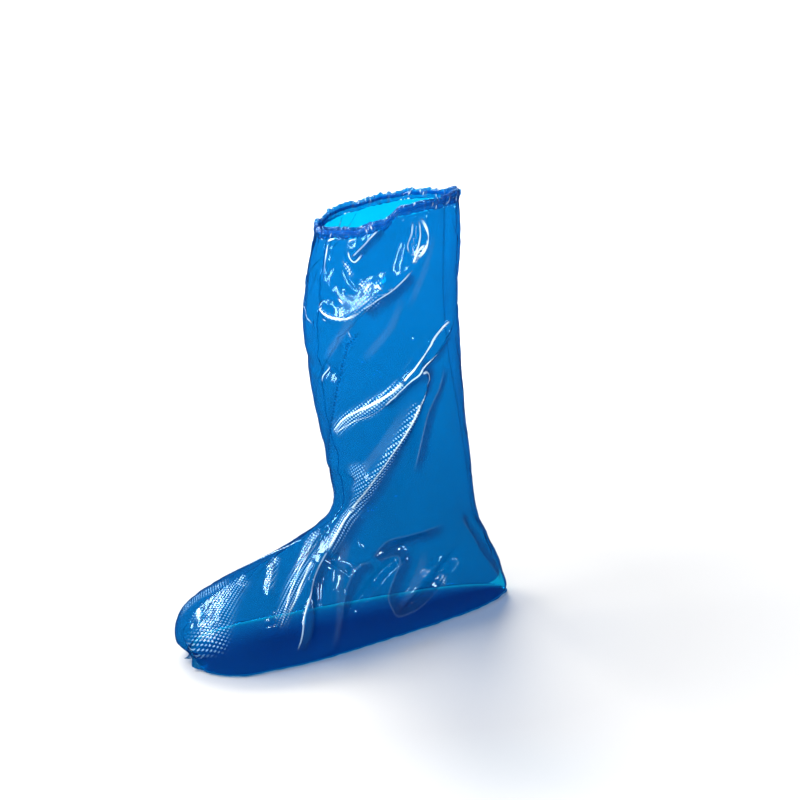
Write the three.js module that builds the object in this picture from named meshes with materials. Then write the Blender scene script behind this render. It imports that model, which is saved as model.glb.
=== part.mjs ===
// A disposable boot-shaped leg cover of thin blue plastic film, in the form that it has when worn.
// The film bag is two L-shaped side panels welded edge to edge down the front and the back, closed
// below by a gusset that opens to a flat sole, and gathered at the top by an elastic in a hem.
// Millimetres, +Z up, toe towards -X, left side towards -Y. The origin is the centre of the leg opening.
import * as THREE from "three";

// Place of the leg opening's centre in the tables below, where z = 0 is the floor and x = 0 is over the
// ankle. The opening leans down to the right by the slope lean, which dies away over fadeRows of sections.
const OPENING = { x: -42, z: 408, lean: 0.16, fadeRows: 2 };

const FILM = 1.2; // thickness of a wall of film
const GAP = 0.3; // between pieces that touch
const FILM_COLOUR = 0x0a63b8;
const ELASTIC_COLOUR = 0x1b4f9c;

// The bag's cross-sections, from the leg opening down the shaft, round the ankle and along the foot.
// Each runs round one side, from the front seam at x and z to the back seam, or the sole's edge, at
// backX, backY and backZ. pull is how far the film heads out sideways as it leaves either end, and
// lift is how far it heads up.
const SECTIONS = [
  { x: -108, z: 383, pull: 86, lift: 2, backX: 25, backY: 0, backZ: 403, backPull: 88, backLift: 7 },
  { x: -113, z: 354, pull: 94, lift: 0, backX: 25, backY: 0, backZ: 372, backPull: 94, backLift: 0 },
  { x: -119, z: 307, pull: 98, lift: 0, backX: 24, backY: 0, backZ: 315, backPull: 90, backLift: 0 },
  { x: -116, z: 258, pull: 98, lift: 0, backX: 30, backY: 0, backZ: 255, backPull: 80, backLift: 0 },
  { x: -107, z: 205, pull: 94, lift: 0, backX: 42, backY: 0, backZ: 195, backPull: 60, backLift: 0 },
  { x: -96, z: 160, pull: 90, lift: 0, backX: 52, backY: 0, backZ: 140, backPull: 48, backLift: 0 },
  { x: -91, z: 132, pull: 86, lift: 0, backX: 60, backY: 0, backZ: 90, backPull: 42, backLift: 0 },
  { x: -93, z: 121, pull: 82, lift: -4, backX: 77, backY: 0, backZ: 60, backPull: 36, backLift: 0 },
  { x: -99, z: 114, pull: 82, lift: -8, backX: 95, backY: 0, backZ: 20, backPull: 32, backLift: 6 },
  { x: -108, z: 109, pull: 78, lift: -10, backX: 90, backY: 14, backZ: 0, backPull: 26, backLift: 20 },
  { x: -122, z: 103, pull: 68, lift: -12, backX: 46, backY: 34, backZ: 0, backPull: 20, backLift: 36 },
  { x: -144, z: 95, pull: 56, lift: -12, backX: -30, backY: 48, backZ: 0, backPull: 16, backLift: 44 },
  { x: -171, z: 86, pull: 52, lift: -12, backX: -105, backY: 57, backZ: 0, backPull: 14, backLift: 46 },
  { x: -202, z: 76, pull: 50, lift: -11, backX: -170, backY: 62, backZ: 0, backPull: 13, backLift: 44 },
  { x: -233, z: 64, pull: 46, lift: -9, backX: -222, backY: 56, backZ: 0, backPull: 12, backLift: 38 },
  { x: -256, z: 50, pull: 38, lift: -6, backX: -248, backY: 42, backZ: 0, backPull: 10, backLift: 28 },
  { x: -270, z: 30, pull: 22, lift: -3, backX: -260, backY: 24, backZ: 0, backPull: 7, backLift: 14 },
  { x: -264, z: 6, pull: 3, lift: 0, backX: -261, backY: 2.5, backZ: 0, backPull: 1, backLift: 2 },
];
const LAST = SECTIONS.length - 1;
const HEEL_CORNER = 8; // row where the back seam ends and the sole's edge begins

// Folds and dents of the film, as curves over the side view. Each goes from x, z by way of viaX, viaZ
// to toX, toZ, stands out by height, or in if it is negative, and reaches width to either hand.
const LEFT_FOLDS = [
  { name: "swag", x: -117, z: 319, viaX: -118, viaZ: 305, toX: -44, toZ: 378, height: 5, width: 16 },
  { name: "swag_hollow", x: -108, z: 364, viaX: -100, viaZ: 340, toX: -56, toZ: 388, height: -8, width: 25 },
  { name: "upper_pull", x: -7, z: 305, viaX: -60, viaZ: 272, toX: -106, toZ: 205, height: 5, width: 15 },
  { name: "long_pull", x: -45, z: 262, viaX: -62, viaZ: 215, toX: -103, toZ: 104, height: 7, width: 19 },
  { name: "foot_pull", x: -98, z: 110, viaX: -160, viaZ: 75, toX: -186, toZ: 12, height: 6, width: 18 },
  { name: "calf_hollow", x: -20, z: 250, viaX: -34, viaZ: 180, toX: -66, toZ: 95, height: -6, width: 26 },
  { name: "ankle_tuck", x: 8, z: 86, viaX: -45, viaZ: 92, toX: -92, toZ: 80, height: -5, width: 15 },
  { name: "arch_tuck", x: -46, z: 72, viaX: -90, viaZ: 58, toX: -135, toZ: 34, height: -5, width: 15 },
  { name: "heel_tuck", x: 30, z: 66, viaX: -20, viaZ: 38, toX: -70, toZ: 24, height: -5, width: 15 },
  { name: "foot_bow", x: -124, z: 83, viaX: -140, viaZ: 50, toX: -150, toZ: 12, height: 4, width: 20 },
  { name: "toe_streak", x: -226, z: 66, viaX: -240, viaZ: 55, toX: -250, toZ: 38, height: 3, width: 14 },
  { name: "shin_dent", x: -118, z: 266, viaX: -112, viaZ: 258, toX: -104, toZ: 246, height: -4, width: 16 },
  { name: "instep_dent", x: -96, z: 152, viaX: -88, viaZ: 146, toX: -78, toZ: 136, height: -4, width: 15 },
  { name: "back_crease", x: -10, z: 247, viaX: 2, viaZ: 150, toX: 10, toZ: 60, height: -3, width: 15 },
];
const RIGHT_FOLDS = [
  { name: "swag", x: -20, z: 322, viaX: -60, viaZ: 300, toX: -96, toZ: 356, height: 5, width: 16 },
  { name: "swag_hollow", x: -30, z: 354, viaX: -58, viaZ: 332, toX: -80, toZ: 372, height: -7, width: 24 },
  { name: "upper_pull", x: -86, z: 290, viaX: -50, viaZ: 270, toX: 6, toZ: 218, height: 5, width: 16 },
  { name: "long_pull", x: -20, z: 262, viaX: -56, viaZ: 210, toX: -98, toZ: 112, height: 6, width: 18 },
  { name: "calf_hollow", x: 0, z: 210, viaX: -20, viaZ: 160, toX: -50, toZ: 110, height: -5, width: 22 },
  { name: "foot_pull", x: -100, z: 100, viaX: -148, viaZ: 74, toX: -168, toZ: 14, height: 5, width: 17 },
  { name: "ankle_tuck", x: 12, z: 96, viaX: -36, viaZ: 84, toX: -84, toZ: 90, height: -5, width: 15 },
  { name: "heel_tuck", x: 44, z: 66, viaX: -10, viaZ: 42, toX: -64, toZ: 32, height: -5, width: 15 },
  { name: "toe_streak", x: -214, z: 62, viaX: -226, viaZ: 48, toX: -230, toZ: 28, height: 3, width: 14 },
];

// Gathers that hang from the elastic: their number round one side, and their depth below the hem
const GATHERS = { count: 6, deepAtHem: 1.1, deepest: 3.6, deepestAt: 22, endAt: 75 };

// Sole gusset: a flat plate under the panels' lower edges, with the folded corners at the toe
const SOLE_LIP = 1.6; // how far it reaches past the panels
const TOE_EARS = { tipY: 12, leftX: -268, rightX: -262, notchX: -261 }; // folded corners' tips, notch between

// Heat-welded ribs in the middle plane
const WELD = { thick: 1.2, inward: 2.4, outward: 3.2 };
const SEAM_Y = WELD.thick / 2 + GAP; // where the panels' edges end
const FRONT_WELD_STEPS = 38;
const BACK_WELD_STEPS = 22;

// Hem tunnel and the elastic in it. The inner wall hangs free, a little shorter than the outer one.
const HEM = { high: 11, tunnel: 4.4, innerShort: 1.5, steps: 60 };
const ELASTIC = { thick: 1.0, wide: 6, steps: 40 };

const PANEL_STEPS_ALONG = 52;
const PANEL_STEPS_ROUND = 22;

// Value of one column of the sections at a place between its rows, on a Catmull-Rom spline.
function column(name, place) {
  const i = Math.min(Math.floor(place), LAST - 1);
  const w = place - i;
  const value = (k) => SECTIONS[Math.min(Math.max(k, 0), LAST)][name];
  const [a, b, c, d] = [value(i - 1), value(i), value(i + 1), value(i + 2)];
  return b + 0.5 * w * (c - a + w * (2 * a - 5 * b + 4 * c - d + w * (3 * (b - c) + d - a)));
}

// A point of the smooth bag on one side, given as if that side were on +Y: round goes from the front seam (0)
// to the back seam or the sole (1).
function bag(side, place, round) {
  const read = (name) => column(name, place);
  const front = new THREE.Vector3(read("x"), SEAM_Y, read("z"));
  const back = new THREE.Vector3(
    read("backX"),
    SEAM_Y + Math.max(read("backY"), 0),
    FILM + GAP + Math.max(read("backZ"), 0),
  );
  const leave = front.clone().add(new THREE.Vector3(0, read("pull"), read("lift")));
  const arrive = back.clone().add(new THREE.Vector3(0, read("backPull"), read("backLift")));
  const point = new THREE.CubicBezierCurve3(front, leave, arrive, back).getPoint(round);
  point.z -= OPENING.lean * side * point.y * Math.max(1 - place / OPENING.fadeRows, 0);
  return point;
}

// Outward normal of a surface that is a function of place and round.
function normalOf(surface, place, round) {
  const step = 2e-3;
  const placeA = Math.max(place - step, 0);
  const placeB = Math.min(place + step, LAST);
  const roundA = Math.max(round - step, 0);
  const roundB = Math.min(round + step, 1);
  const along = surface(placeB, round).sub(surface(placeA, round));
  const across = surface(place, roundB).sub(surface(place, roundA));
  return across.cross(along).normalize();
}

// How far the folds push the film out at a point of the side view.
function foldHeight(folds, point) {
  let total = 0;
  for (const fold of folds) {
    let nearest = Infinity;
    let strength = 0;
    const steps = 16;
    for (let i = 0; i <= steps; i++) {
      const t = i / steps;
      const [a, b, c] = [(1 - t) * (1 - t), 2 * t * (1 - t), t * t];
      const x = a * fold.x + b * fold.viaX + c * fold.toX;
      const z = a * fold.z + b * fold.viaZ + c * fold.toZ;
      const distance = Math.hypot(point.x - x, point.z - z);
      if (distance < nearest) {
        nearest = distance;
        strength = Math.sqrt(Math.sin(Math.PI * Math.min(Math.max(0.04 + 0.92 * t, 0), 1)));
      }
    }
    if (nearest < fold.width) {
      const across = Math.cos((Math.PI / 2) * (nearest / fold.width));
      total += fold.height * strength * across * across;
    }
  }
  return total;
}

// How far the gathers push the film out at a place and round.
function gatherHeight(side, place, round) {
  const below = bag(side, 0, round).distanceTo(bag(side, place, round));
  const { count, deepAtHem, deepest, deepestAt, endAt } = GATHERS;
  const rise = Math.min(below / deepestAt, 1);
  const fade = Math.min(Math.max((endAt - below) / (endAt - deepestAt), 0), 1);
  const deep = (deepAtHem + (deepest - deepAtHem) * rise) * fade * fade;
  return deep * Math.sin(2 * Math.PI * count * round + 0.8 * Math.sin(7 * round));
}

// The film's outer face on one side, still on +Y, with its folds and gathers. They die away at the seams.
function filmFace(side, folds) {
  const smooth = (place, round) => bag(side, place, round);
  return (place, round) => {
    const point = smooth(place, round);
    const atSeam = Math.min(round, place < HEEL_CORNER ? 1 - round : 1) / 0.08;
    const hold = Math.min(Math.max(atSeam, 0), 1);
    const height = foldHeight(folds, point) + (place < 4 ? gatherHeight(side, place, round) : 0);
    return point.addScaledVector(normalOf(smooth, place, round), height * hold);
  };
}

// Bends a closed box, of the given steps, into a sheet: place(along, round, depth) returns each vertex,
// with all three from 0 to 1.
function sheet(alongSteps, roundSteps, place) {
  const box = new THREE.BoxGeometry(1, 1, 1, alongSteps, roundSteps, 1);
  const position = box.getAttribute("position");
  for (let i = 0; i < position.count; i++) {
    const point = place(position.getX(i) + 0.5, position.getY(i) + 0.5, position.getZ(i) + 0.5);
    position.setXYZ(i, point.x, point.y, point.z);
  }
  return box;
}

// One side panel of the bag; side is +1 for the right (+Y) and -1 for the left (-Y). Its steps along are
// even on its middle line.
function panel(side, folds) {
  const face = filmFace(side, folds);
  const middlePoints = SECTIONS.map((row, i) => bag(side, i, 0.5));
  const middle = new THREE.CatmullRomCurve3(middlePoints, false, "catmullrom", 0.5);
  return sheet(PANEL_STEPS_ALONG, PANEL_STEPS_ROUND, (along, round, depth) => {
    const place = middle.getUtoTmapping(side > 0 ? 1 - along : along) * LAST;
    const point = face(place, round);
    const inward = normalOf(face, place, round).negate();
    if (place === 0) inward.setZ(0).normalize(); // the top edge is level, under the hem
    point.addScaledVector(inward, (1 - depth) * FILM);
    point.y = Math.max(point.y, SEAM_Y) * side;
    point.z = Math.max(point.z, FILM + GAP);
    return point;
  });
}

// A welded rib along a seam line in the middle plane; outward is +1 to the front and -1 to the back.
function weld(line, outward, steps) {
  return sheet(steps, 1, (along, across, depth) => {
    const point = line.getPointAt(along);
    const tangent = line.getTangentAt(along);
    const out = new THREE.Vector3(tangent.z, 0, -tangent.x).multiplyScalar(outward);
    point.addScaledVector(out, -WELD.inward + (WELD.inward + WELD.outward) * across);
    point.y = (depth - 0.5) * WELD.thick * outward;
    point.z = Math.max(point.z, FILM + GAP);
    return point;
  });
}

// The bag's seam in the middle plane: round is 0 for the front and 1 for the back.
function seamLine(round, lastRow) {
  const points = [];
  for (let row = 0; row <= lastRow; row++) {
    const point = bag(1, row, round);
    points.push(new THREE.Vector3(point.x, 0, point.z));
  }
  return new THREE.CatmullRomCurve3(points, false, "catmullrom", 0.5);
}

// The sole's plan outline: the +Y half from heel to toe, then the -Y half back.
function soleOutline() {
  const heel = new THREE.Vector2(bag(1, HEEL_CORNER, 1).x + SOLE_LIP, 0);
  const edge = [heel];
  for (let place = HEEL_CORNER + 0.5; place < LAST - 1; place += 0.5) {
    const point = bag(1, place, 1);
    edge.push(new THREE.Vector2(point.x, point.y + SOLE_LIP));
  }
  const right = new THREE.SplineCurve(edge).getPoints(edge.length * 2);
  const left = right.slice(1).reverse();
  const toe = [
    new THREE.Vector2(TOE_EARS.rightX, TOE_EARS.tipY),
    new THREE.Vector2(TOE_EARS.notchX, 0),
    new THREE.Vector2(TOE_EARS.leftX, -TOE_EARS.tipY),
  ];
  return new THREE.Shape([...right, ...toe, ...left.map((point) => new THREE.Vector2(point.x, -point.y))]);
}

// A point of the panels' top edge, which the hem follows: turn goes once round from the front seam, by the
// -Y side. With gathered true it waves in and out with the panels' gathers.
function rim(turn, gathered) {
  const side = turn < 0.5 ? -1 : 1;
  const round = side < 0 ? 2 * turn : 2 - 2 * turn;
  const point = gathered ? filmFace(side, [])(0, round) : bag(side, 0, round);
  point.y *= side;
  return point;
}

// Bends a lathe profile, whose x is outward from the rim and whose y is upward, round the rim.
function roundRim(profile, steps, gathered) {
  const far = 100;
  const outline = profile.map(([out, up]) => new THREE.Vector2(far + out, up));
  const lathe = new THREE.LatheGeometry(outline, steps);
  const position = lathe.getAttribute("position");
  for (let i = 0; i < position.count; i++) {
    const [x, up, z] = [position.getX(i), position.getY(i), position.getZ(i)];
    const turn = (Math.round((Math.atan2(x, z) / (2 * Math.PI)) * steps) / steps + 1) % 1;
    const point = rim(turn, gathered);
    const tangent = rim((turn + 0.003) % 1, gathered).sub(rim((turn + 0.997) % 1, gathered));
    const outward = new THREE.Vector3(tangent.y, -tangent.x, 0).normalize();
    point.addScaledVector(outward, Math.hypot(x, z) - far);
    point.z += up;
    position.setXYZ(i, point.x, point.y, point.z);
  }
  return lathe;
}

const group = new THREE.Group();
group.position.set(-OPENING.x, 0, -OPENING.z);

function add(name, geometry, options) {
  const film = { color: FILM_COLOUR, roughness: 0.25, metalness: 0 };
  const mesh = new THREE.Mesh(geometry, new THREE.MeshStandardMaterial({ ...film, ...options }));
  mesh.name = name;
  group.add(mesh);
}

add("left_panel", panel(-1, LEFT_FOLDS), {});
add("right_panel", panel(1, RIGHT_FOLDS), {});

const sole = new THREE.ExtrudeGeometry(soleOutline(), { depth: FILM, bevelEnabled: false });
add("sole_gusset", sole, {});

add("front_weld", weld(seamLine(0, LAST), 1, FRONT_WELD_STEPS), {});
add("back_weld", weld(seamLine(1, HEEL_CORNER), -1, BACK_WELD_STEPS), {});

const hemInner = -2 * FILM - HEM.tunnel;
const hemProfile = [
  [0, GAP],
  [0, HEM.high],
  [hemInner, HEM.high],
  [hemInner, GAP + HEM.innerShort],
  [hemInner + FILM, GAP + HEM.innerShort],
  [hemInner + FILM, HEM.high - FILM],
  [-FILM, HEM.high - FILM],
  [-FILM, GAP],
  [0, GAP],
];
add("top_hem", roundRim(hemProfile, HEM.steps, true), {});

const elasticOut = -FILM - HEM.tunnel / 2 + ELASTIC.thick / 2;
const elasticTop = HEM.high - FILM - GAP;
const elasticProfile = [
  [elasticOut, elasticTop - ELASTIC.wide],
  [elasticOut, elasticTop],
  [elasticOut - ELASTIC.thick, elasticTop],
  [elasticOut - ELASTIC.thick, elasticTop - ELASTIC.wide],
  [elasticOut, elasticTop - ELASTIC.wide],
];
const elasticGeometry = roundRim(elasticProfile, ELASTIC.steps, false);
add("elastic_band", elasticGeometry, { color: ELASTIC_COLOUR, roughness: 0.7 });

export default group;
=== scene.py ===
import math
import bmesh
import bpy
import numpy as np
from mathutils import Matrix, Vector, noise


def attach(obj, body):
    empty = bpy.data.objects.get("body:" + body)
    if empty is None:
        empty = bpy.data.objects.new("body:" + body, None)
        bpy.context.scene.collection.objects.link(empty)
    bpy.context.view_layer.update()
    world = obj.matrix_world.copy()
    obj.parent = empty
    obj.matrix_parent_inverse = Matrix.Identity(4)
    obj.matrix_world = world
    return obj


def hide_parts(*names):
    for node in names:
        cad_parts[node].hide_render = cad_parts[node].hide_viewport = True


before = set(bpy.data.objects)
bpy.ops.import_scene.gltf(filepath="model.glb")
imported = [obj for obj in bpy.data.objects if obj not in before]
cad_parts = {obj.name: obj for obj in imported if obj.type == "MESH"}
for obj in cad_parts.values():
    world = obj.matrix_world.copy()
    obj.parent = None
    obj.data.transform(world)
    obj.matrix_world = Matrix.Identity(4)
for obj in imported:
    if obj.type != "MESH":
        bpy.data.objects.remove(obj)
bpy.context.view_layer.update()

# ---------------------------------------------------------------------------
# Film bag. Two L-shaped panels of embossed polyethylene film, welded to each
# other down the front and the back and below to the sole. The bag stands as
# it does on a leg, pulled into long folds from the calf to the front foot.
# ---------------------------------------------------------------------------
MM = 0.001
OPENING_X = -42  # the leg opening's centre in the tables, whose z = 0 is the floor
OPENING_Z = 408
OPENING_LEAN = 0.16  # how much lower the opening is on the right, as a slope
LEAN_ROWS = 2  # rows of SECTIONS, from the top, over which that slope runs out
SOLE_TOP = 1.5  # how high the panels are welded to the sole

# Cross-sections of the bag, from the leg opening down the shaft, round the ankle and along the foot, in
# millimetres: each goes round one side from the front seam to the back seam or to the sole's edge. It
# leaves the seam at x, z with a pull to the side and a lift upwards, and ends at the back_ values alike.
SECTION_COLUMNS = ("x", "z", "pull", "lift", "back_x", "back_y", "back_z", "back_pull", "back_lift")
SECTIONS = np.array([
    (-108, 383, 86, 2, 25, 0, 403, 88, 7),
    (-113, 354, 94, 0, 25, 0, 372, 94, 0),
    (-119, 307, 98, 0, 24, 0, 315, 90, 0),
    (-116, 258, 98, 0, 30, 0, 255, 80, 0),
    (-107, 205, 94, 0, 42, 0, 195, 60, 0),
    (-96, 160, 90, 0, 52, 0, 140, 48, 0),
    (-91, 132, 86, 0, 60, 0, 90, 42, 0),
    (-93, 121, 82, -4, 77, 0, 60, 36, 0),
    (-99, 114, 82, -8, 95, 0, 20, 32, 6),
    (-108, 109, 78, -10, 90, 14, 0, 26, 20),
    (-122, 103, 68, -12, 46, 34, 0, 20, 36),
    (-144, 95, 56, -12, -30, 48, 0, 16, 44),
    (-171, 86, 52, -12, -105, 57, 0, 14, 46),
    (-202, 76, 50, -11, -170, 62, 0, 13, 44),
    (-233, 64, 46, -9, -222, 56, 0, 12, 38),
    (-256, 50, 38, -6, -248, 42, 0, 10, 28),
    (-270, 30, 22, -3, -260, 24, 0, 7, 14),
    (-264, 6, 3, 0, -261, 2.5, 0, 1, 2),
], float)
LAST_ROW = len(SECTIONS) - 1
HEEL_CORNER = 8  # the row where the back seam ends and the sole's edge begins

# Folds and hollows of each panel, drawn on the panel laid flat, where x, z are those of the front seam
# and the film runs on from it. A row holds a name, the fold's path, its height out of the film, how far
# it reaches to the left and to the right of its line, how sharp it is, from 0, a soft roll, to 1, a
# crisp crease, and the shares of its length over which it comes and goes.
LEFT_FOLDS = [
    ("swag", [(-114, 326), (-90, 316), (-51, 341), (-3, 380)], 8, 12, 14, 0.8, 0.10, 0.25),
    ("swag_hollow", [(-96, 368), (-80, 352), (-48, 364), (-16, 392)], -9, 23, 23, 0.0, 0.2, 0.2),
    ("upper_pull", [(44, 308), (-4, 286), (-33, 252), (-92, 206)], 6, 12, 7, 0.9, 0.2, 0.3),
    ("upper_pull_edge", [(30, 300), (-10, 266), (-39, 238), (-70, 216)], 6, 6, 12, 0.9, 0.2, 0.3),
    ("long_pull", [(-8, 266), (-14, 232), (-45, 176), (-82, 108)], 9, 13, 18, 0.8, 0.1, 0.2),
    ("foot_pull", [(-74, 118), (-109, 84), (-146, 44), (-172, -20)], 8, 12, 16, 0.8, 0.2, 0.15),
    ("long_pull_crest", [(-8, 264), (-16, 230), (-47, 175), (-84, 106)], 2.2, 5, 5, 1.0, 0.1, 0.1),
    ("calf_hollow", [(12, 240), (0, 190), (-18, 140), (-34, 108)], -9, 26, 28, 0.0, 0.3, 0.3),
    ("shin_roll", [(-60, 205), (-66, 175), (-66, 150), (-78, 126)], 3, 12, 12, 0.3, 0.3, 0.3),
    ("ankle_tuck", [(38, 78), (0, 82), (-34, 78), (-70, 71)], -5, 10, 12, 0.5, 0.5, 0.3),
    ("arch_tuck", [(-30, 69), (-60, 52), (-90, 28), (-124, 0)], -6, 9, 12, 0.8, 0.2, 0.3),
    ("heel_tuck", [(48, 64), (14, 42), (-18, 16), (-64, -4)], -6, 9, 12, 0.8, 0.2, 0.3),
    ("heel_roll", [(20, 64), (-14, 40), (-40, 18), (-56, 8)], 5, 9, 9, 0.4, 0.3, 0.3),
    ("foot_streak", [(-108, 106), (-129, 88), (-154, 56), (-192, 10)], 3.5, 5, 11, 0.9, 0.1, 0.3),
    ("foot_streak_crest", [(-108, 104), (-128, 86), (-152, 55), (-186, 12)], 2.0, 4, 5, 1.0, 0.1, 0.2),
    ("foot_streak_by", [(-132, 74), (-146, 58), (-158, 42), (-166, 26)], 2.5, 5, 5, 0.9, 0.2, 0.3),
    ("instep_streak", [(-172, 78), (-178, 62), (-187, 44), (-198, 22)], 3, 6, 9, 0.8, 0.1, 0.4),
    ("ball_roll", [(-212, 66), (-222, 54), (-236, 38), (-246, 22)], 2.0, 14, 14, 0.2, 0.1, 0.3),
    ("toe_crease", [(-250, 58), (-253, 52), (-256, 44), (-257, 34)], 1.8, 5, 7, 0.8, 0.1, 0.3),
    ("foot_bow", [(-109, 72), (-124, 36), (-134, 0), (-140, -32)], 5, 18, 18, 0.2, 0.2, 0.1),
    ("calf_pocket", [(-16, 336), (-29, 314), (-20, 300), (-6, 314)], -3.5, 8, 8, 0.6, 0.2, 0.2),
    ("shin_dent", [(-116, 266), (-104, 262), (-96, 256), (-88, 250)], -4, 9, 12, 0.4, 0.1, 0.3),
    ("shin_dent_lip", [(-104, 264), (-107, 258), (-108, 252), (-108, 246)], 2.5, 5, 5, 0.9, 0.2, 0.2),
    ("instep_dent", [(-94, 156), (-86, 150), (-80, 148), (-72, 150)], -4, 8, 8, 0.5, 0.1, 0.3),
    ("heel_line", [(56, 90), (66, 70), (78, 48), (88, 28)], -3, 5, 6, 0.8, 0.2, 0.2),
    ("heel_line_by", [(66, 92), (76, 72), (86, 52), (94, 34)], 2.5, 5, 5, 0.8, 0.2, 0.2),
    ("heel_cross", [(30, 104), (46, 100), (62, 94), (80, 86)], -3, 5, 7, 0.8, 0.3, 0.1),
    ("hem_pleat", [(-30, 402), (-46, 394), (-63, 385), (-80, 378)], 4, 6, 7, 0.8, 0.05, 0.3),
    ("spray_a", [(-8, 398), (-3, 386), (-8, 372), (-22, 360)], 3.5, 5, 5, 0.9, 0.1, 0.2),
    ("spray_b", [(-17, 398), (-13, 384), (-18, 370), (-27, 360)], 3, 4, 5, 0.9, 0.1, 0.2),
    ("spray_c", [(-26, 396), (-23, 382), (-27, 370), (-34, 360)], 3, 4, 5, 0.9, 0.1, 0.2),
    ("crinkle_a", [(-76, 386), (-81, 376), (-79, 366), (-70, 361)], 3, 4, 5, 0.9, 0.2, 0.2),
    ("crinkle_b", [(-90, 368), (-86, 358), (-80, 350), (-70, 345)], 2.5, 4, 5, 0.9, 0.2, 0.2),
    ("crinkle_c", [(-88, 344), (-80, 338), (-72, 338), (-64, 344)], 2.5, 4, 4, 0.9, 0.2, 0.2),
    ("facet_a", [(-66, 342), (-60, 350), (-54, 350), (-48, 344)], 2.5, 4, 5, 0.9, 0.2, 0.2),
    ("facet_b", [(-58, 338), (-52, 346), (-47, 350), (-41, 356)], 2.5, 4, 5, 0.9, 0.2, 0.2),
    ("edge_streak_a", [(-103, 384), (-106, 368), (-108, 352), (-108, 338)], 2.5, 4, 4, 0.9, 0.1, 0.3),
    ("edge_streak_b", [(-98, 364), (-101, 350), (-103, 336), (-103, 326)], 2, 4, 4, 0.9, 0.2, 0.3),
]
RIGHT_FOLDS = [
    ("swag", [(44, 318), (4, 310), (-20, 326), (-36, 352)], 7, 12, 12, 0.8, 0.2, 0.4),
    ("swag_hollow", [(24, 352), (0, 340), (-20, 350), (-34, 370)], -7, 20, 20, 0.0, 0.2, 0.2),
    ("upper_pull", [(-48, 288), (-24, 278), (8, 250), (42, 208)], 6, 8, 12, 0.8, 0.45, 0.3),
    ("long_pull", [(10, 272), (-10, 230), (-34, 170), (-50, 120)], 7, 13, 15, 0.8, 0.2, 0.4),
    ("calf_hollow", [(34, 240), (26, 190), (10, 150), (-10, 112)], -6, 20, 20, 0.0, 0.3, 0.3),
    ("foot_pull", [(-60, 92), (-96, 62), (-124, 26), (-146, -20)], 6, 12, 13, 0.8, 0.4, 0.2),
    ("ankle_tuck", [(40, 92), (4, 88), (-34, 76), (-54, 74)], -6, 8, 10, 0.8, 0.2, 0.4),
    ("heel_tuck", [(62, 60), (24, 44), (-14, 22), (-50, 6)], -6, 9, 12, 0.8, 0.2, 0.3),
    ("arch_roll", [(-50, 60), (-74, 36), (-96, 10), (-110, -20)], 4, 12, 12, 0.4, 0.3, 0.2),
    ("ball_roll", [(-160, 20), (-172, 10), (-184, 0), (-196, -14)], 2.5, 13, 13, 0.3, 0.3, 0.3),
    ("shin_dent", [(-34, 240), (-26, 232), (-18, 228), (-8, 226)], -4, 9, 10, 0.5, 0.3, 0.3),
    ("spray_a", [(10, 400), (6, 386), (-2, 374), (-14, 362)], 3.5, 5, 5, 0.9, 0.1, 0.2),
    ("spray_b", [(-8, 398), (-8, 384), (-14, 370), (-24, 360)], 3, 4, 5, 0.9, 0.1, 0.2),
    ("crinkle_b", [(44, 380), (40, 366), (44, 352), (54, 344)], 3, 4, 5, 0.9, 0.2, 0.2),
]


def section_column(name, place):
    values = SECTIONS[:, SECTION_COLUMNS.index(name)]
    row = np.minimum(np.floor(place).astype(int), LAST_ROW - 1)
    part = place - row
    a, b, c, d = (values[np.clip(row + k, 0, LAST_ROW)] for k in (-1, 0, 1, 2))
    return b + 0.5 * part * (c - a + part * (2 * a - 5 * b + 4 * c - d + part * (3 * (b - c) + d - a)))


# Points of the smooth bag on one side, in millimetres from the floor under the ankle. place counts the
# rows of SECTIONS, and around goes from the front seam, 0, to the back seam or the sole, 1.
def bag(side, place, around):
    place, around = np.broadcast_arrays(np.asarray(place, float), np.asarray(around, float))
    read = lambda name: section_column(name, place)
    front = np.stack([read("x"), 0 * place, read("z")], -1)
    back_y = np.maximum(read("back_y"), 0)
    back_z = SOLE_TOP + np.maximum(read("back_z"), 0)
    back = np.stack([read("back_x"), back_y, back_z], -1)
    leave = front + np.stack([0 * place, read("pull"), read("lift")], -1)
    arrive = back + np.stack([0 * place, read("back_pull"), read("back_lift")], -1)
    t = around[..., None]
    point = (1 - t) ** 3 * front + 3 * (1 - t) ** 2 * t * leave + 3 * (1 - t) * t**2 * arrive + t**3 * back
    point[..., 2] -= OPENING_LEAN * side * point[..., 1] * np.maximum(1 - place / LEAN_ROWS, 0)
    point[..., 1] *= side
    return point


# The same points on the panel laid flat: from the front seam, straight along the section, for its true
# length. It also gives how far each one is from the front seam.
def laid_flat(points):
    steps = np.linalg.norm(np.diff(points, axis=1), axis=-1)
    run = np.concatenate([np.zeros((len(points), 1)), np.cumsum(steps, 1)], 1)
    heading = points[:, -1, ::2] - points[:, 0, ::2]
    heading /= np.linalg.norm(heading, axis=1, keepdims=True)
    return points[:, :1, ::2] + heading[:, None] * run[..., None], run


# How far along a line each of its points lies.
def run_along(line):
    return np.concatenate([[0], np.cumsum(np.linalg.norm(np.diff(line, axis=0), axis=1))])


# The way out of the film at each point of its grid.
def outward(points, side):
    down, across = np.gradient(points, axis=0), np.gradient(points, axis=1)
    normal = np.cross(across, down) * side
    return normal / (np.linalg.norm(normal, axis=-1, keepdims=True) + 1e-12)


# Smooth noise between -1 and 1 at points of any shape, with the size of its waves in millimetres.
def wave_noise(points, size, seed):
    flat = (np.asarray(points, float) / np.asarray(size, float)).reshape(-1, points.shape[-1])
    if flat.shape[1] == 2:
        flat = np.column_stack([flat, np.full(len(flat), seed * 7.31)])
    else:
        flat = flat + seed * 7.31
    return np.array([noise.noise(Vector(p)) for p in flat]).reshape(points.shape[:-1])


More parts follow.
